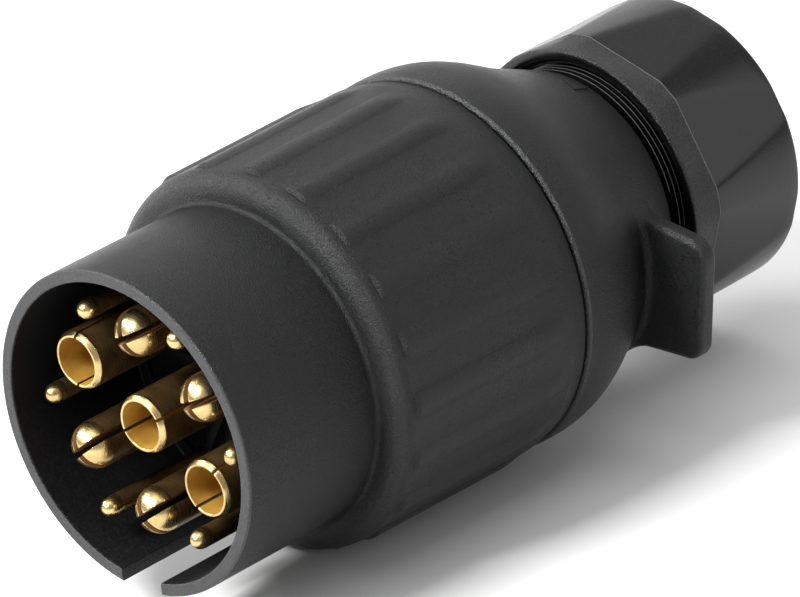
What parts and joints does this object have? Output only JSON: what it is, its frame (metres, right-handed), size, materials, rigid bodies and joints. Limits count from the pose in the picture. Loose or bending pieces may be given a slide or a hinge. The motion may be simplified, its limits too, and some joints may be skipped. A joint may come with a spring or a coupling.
{
  "type": "trailer plug",
  "caption": "Round multi-pole trailer plug with a keyed shroud, ribbed grip, brass contacts, screwed rear housing and an octagonal cable gland nut.",
  "frame": {"origin": "the middle of the plug's bounding box on its underside; the long axis runs 23.4 mm above it and 2.1 mm to its -X side, and the mating rim is 46.2 mm in front of it", "axes": "+Y along the plug from the mating rim to the cable end, -Z through the middle of the keyway, +X towards the side with the lug"},
  "size_m": [0.051, 0.0924, 0.0468],
  "materials": {
    "body_plastic": "fine-grained moulded black plastic",
    "insert_plastic": "plain black insulator",
    "nut_plastic": "smoother, half-gloss black plastic",
    "contact_brass": "polished turned brass",
    "screw_steel": "zinc-plated steel",
    "seal_rubber": "matte black rubber",
    "washer_nylon": "smooth nylon"
  },
  "bodies": {
    "shell": {"front_shell": "body_plastic", "contact_insert": "insert_plastic", "tube_contact_left": "contact_brass", "tube_contact_centre": "contact_brass", "tube_contact_right": "contact_brass", "split_pin_top": "contact_brass", "split_pin_upper_right": "contact_brass", "split_pin_lower_left": "contact_brass", "split_pin_bottom": "contact_brass", "small_pin_1": "contact_brass", "small_pin_2": "contact_brass", "small_pin_3": "contact_brass", "small_pin_4": "contact_brass", "small_pin_5": "contact_brass", "small_pin_6": "contact_brass", "insert_screw_1": "screw_steel", "insert_screw_2": "screw_steel", "insert_screw_3": "screw_steel"},
    "housing_carriage": {"housing_seal": "seal_rubber"},
    "housing": {"rear_housing": "body_plastic", "gland_seal": "seal_rubber"},
    "nut_carriage": {"thrust_washer": "washer_nylon"},
    "nut": {"gland_nut": "nut_plastic"},
    "terminal_screw_tube_left_body": {"terminal_screw_tube_left": "screw_steel"},
    "terminal_screw_tube_centre_body": {"terminal_screw_tube_centre": "screw_steel"},
    "terminal_screw_tube_right_body": {"terminal_screw_tube_right": "screw_steel"},
    "terminal_screw_pin_top_body": {"terminal_screw_pin_top": "screw_steel"},
    "terminal_screw_pin_upper_right_body": {"terminal_screw_pin_upper_right": "screw_steel"},
    "terminal_screw_pin_lower_left_body": {"terminal_screw_pin_lower_left": "screw_steel"},
    "terminal_screw_pin_bottom_body": {"terminal_screw_pin_bottom": "screw_steel"}
  },
  "joints": [
    {"name": "housing_advance", "type": "slide", "parent": "shell", "child": "housing_carriage", "axis": [0, 1, 0], "range_m": [0, 0.008]},
    {"name": "housing_turn", "type": "hinge", "parent": "housing_carriage", "child": "housing", "pos_m": [-0.00215, 0.0041, 0.0234], "axis": [0, 1, 0], "range_deg": [0, 1440]},
    {"name": "nut_advance", "type": "slide", "parent": "housing", "child": "nut_carriage", "axis": [0, 1, 0], "range_m": [0, 0.012]},
    {"name": "nut_turn", "type": "hinge", "parent": "nut_carriage", "child": "nut", "pos_m": [-0.00215, 0.0368, 0.0234], "axis": [0, 1, 0], "range_deg": [0, 2880]},
    {"name": "terminal_screw_tube_left_turn", "type": "hinge", "parent": "shell", "child": "terminal_screw_tube_left_body", "pos_m": [-0.0115, -0.0114, 0.0288], "axis": [-0.866, 0, 0.5], "range_deg": [0, 1080]},
    {"name": "terminal_screw_tube_centre_turn", "type": "hinge", "parent": "shell", "child": "terminal_screw_tube_centre_body", "pos_m": [-0.00215, -0.0114, 0.0234], "axis": [1, 0, 0], "range_deg": [0, 1080]},
    {"name": "terminal_screw_tube_right_turn", "type": "hinge", "parent": "shell", "child": "terminal_screw_tube_right_body", "pos_m": [0.0072, -0.0114, 0.018], "axis": [0.866, 0, -0.5], "range_deg": [0, 1080]},
    {"name": "terminal_screw_pin_top_turn", "type": "hinge", "parent": "shell", "child": "terminal_screw_pin_top_body", "pos_m": [-0.00215, -0.0114, 0.0342], "axis": [0, 0, 1], "range_deg": [0, 1080]},
    {"name": "terminal_screw_pin_upper_right_turn", "type": "hinge", "parent": "shell", "child": "terminal_screw_pin_upper_right_body", "pos_m": [0.0072, -0.0114, 0.0288], "axis": [0.866, 0, 0.5], "range_deg": [0, 1080]},
    {"name": "terminal_screw_pin_lower_left_turn", "type": "hinge", "parent": "shell", "child": "terminal_screw_pin_lower_left_body", "pos_m": [-0.0115, -0.0114, 0.018], "axis": [-0.866, 0, -0.5], "range_deg": [0, 1080]},
    {"name": "terminal_screw_pin_bottom_turn", "type": "hinge", "parent": "shell", "child": "terminal_screw_pin_bottom_body", "pos_m": [-0.00215, -0.0114, 0.0126], "axis": [0, 0, -1], "range_deg": [0, 1080]}
  ],
  "couplings": [
    {"joint": "housing_advance", "follows": "housing_turn", "m_per_rad": 0.00031831},
    {"joint": "nut_advance", "follows": "nut_turn", "m_per_rad": 0.00023873}
  ]
}
